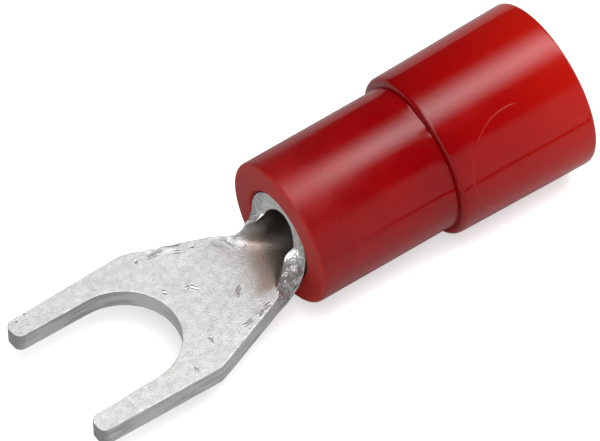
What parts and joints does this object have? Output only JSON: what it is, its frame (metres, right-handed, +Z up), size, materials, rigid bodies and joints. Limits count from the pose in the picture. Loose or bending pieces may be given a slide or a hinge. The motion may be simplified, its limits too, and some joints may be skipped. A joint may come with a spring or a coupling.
{
  "type": "fork terminal",
  "caption": "Insulated crimp fork terminal: a flat open-ended fork for an M4 stud, curling up into a round wire barrel inside a stepped red plastic sleeve.",
  "frame": {"origin": "on the stud's axis, at the centre of the slot's round end, level with the tongue's underside", "axes": "+X from the stud along the barrel towards the wire, +Z up out of the tongue along the stud, +Y across the fork"},
  "size_m": [0.0214, 0.0064, 0.0065],
  "materials": {
    "tinned_copper": "matte tin plating with fine mottling, small dings and softened blanked edges",
    "red_plastic": "smooth, slightly translucent moulded plastic"
  },
  "bodies": {
    "root": {"fork_and_barrel": "tinned_copper", "insulating_sleeve": "red_plastic"}
  },
  "joints": []
}
